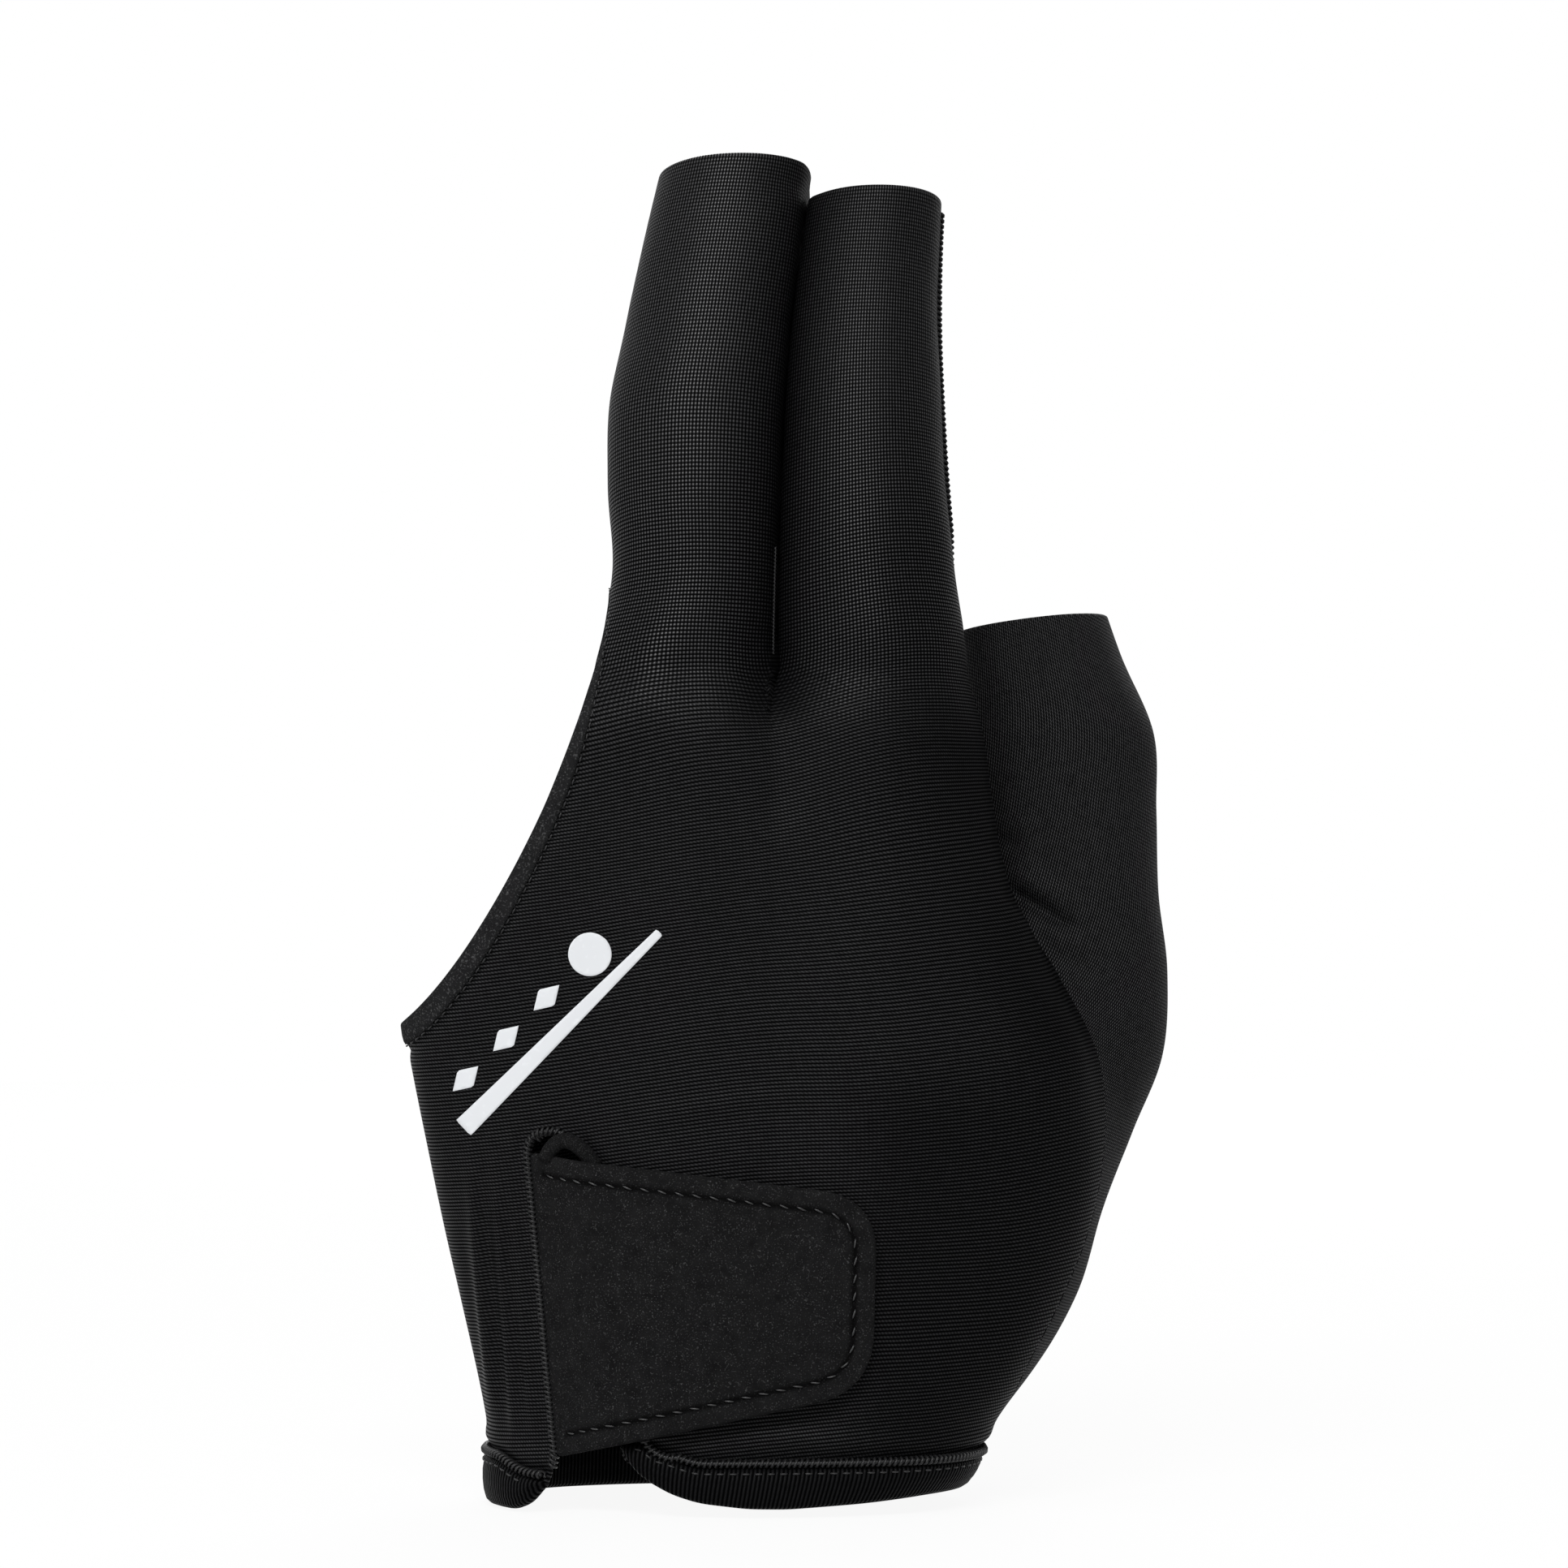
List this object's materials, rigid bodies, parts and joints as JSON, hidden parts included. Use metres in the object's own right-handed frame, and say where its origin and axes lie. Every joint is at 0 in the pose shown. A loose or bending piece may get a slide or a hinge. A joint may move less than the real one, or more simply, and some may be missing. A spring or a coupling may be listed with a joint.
{
  "type": "three-finger cue sports glove",
  "caption": "Left-hand three-finger glove with open sleeve ends, a bound opening for the ring and little fingers, a bound cuff and a hook-and-loop wrist strap over a slit.",
  "frame": {"origin": "centre of the footprint of the worn shape, on the plane of the wrist rim", "axes": "+Z from the wrist rim towards the fingertips, +X towards the thumb, +Y from the back of the hand towards the palm"},
  "size_m": [0.112, 0.0522, 0.1962],
  "materials": {
    "tricot": "black nylon and elastane tricot with fine horizontal ribs and a satin sheen",
    "thumb_tricot": "charcoal tricot with ribs along the thumb",
    "binding": "matt ribbed edge binding",
    "elastic": "flat braided elastic",
    "overlock": "overlocked black polyester thread",
    "microfibre": "matt brushed microfibre",
    "fastener": "hook and loop tape",
    "thread": "black polyester sewing thread with bright glints",
    "print": "white heat-transfer film"
  },
  "bodies": {
    "glove": {"back_panel": "tricot", "palm_panel": "tricot", "thumb_panel": "thumb_tricot", "opening_binding": "binding", "cuff_binding": "binding", "cuff_elastic": "elastic", "cuff_roll": "binding", "slit_edging": "overlock", "index_side_seam": "overlock", "web_seam": "overlock", "strap_loop_pad": "fastener", "opening_stitching": "thread", "cuff_stitching": "thread", "emblem_cue": "print", "emblem_ball": "print", "emblem_diamond_1": "print", "emblem_diamond_2": "print", "emblem_diamond_3": "print"},
    "strap": {"strap_tab": "microfibre", "strap_hook_pad": "fastener", "strap_stitching": "thread"}
  },
  "joints": [
    {"name": "strap_opens", "type": "hinge", "parent": "glove", "child": "strap", "pos_m": [-0.035, -0.01761, 0.0298], "axis": [0.0888, -0.0176, -0.9959], "range_deg": [0, 150]}
  ]
}
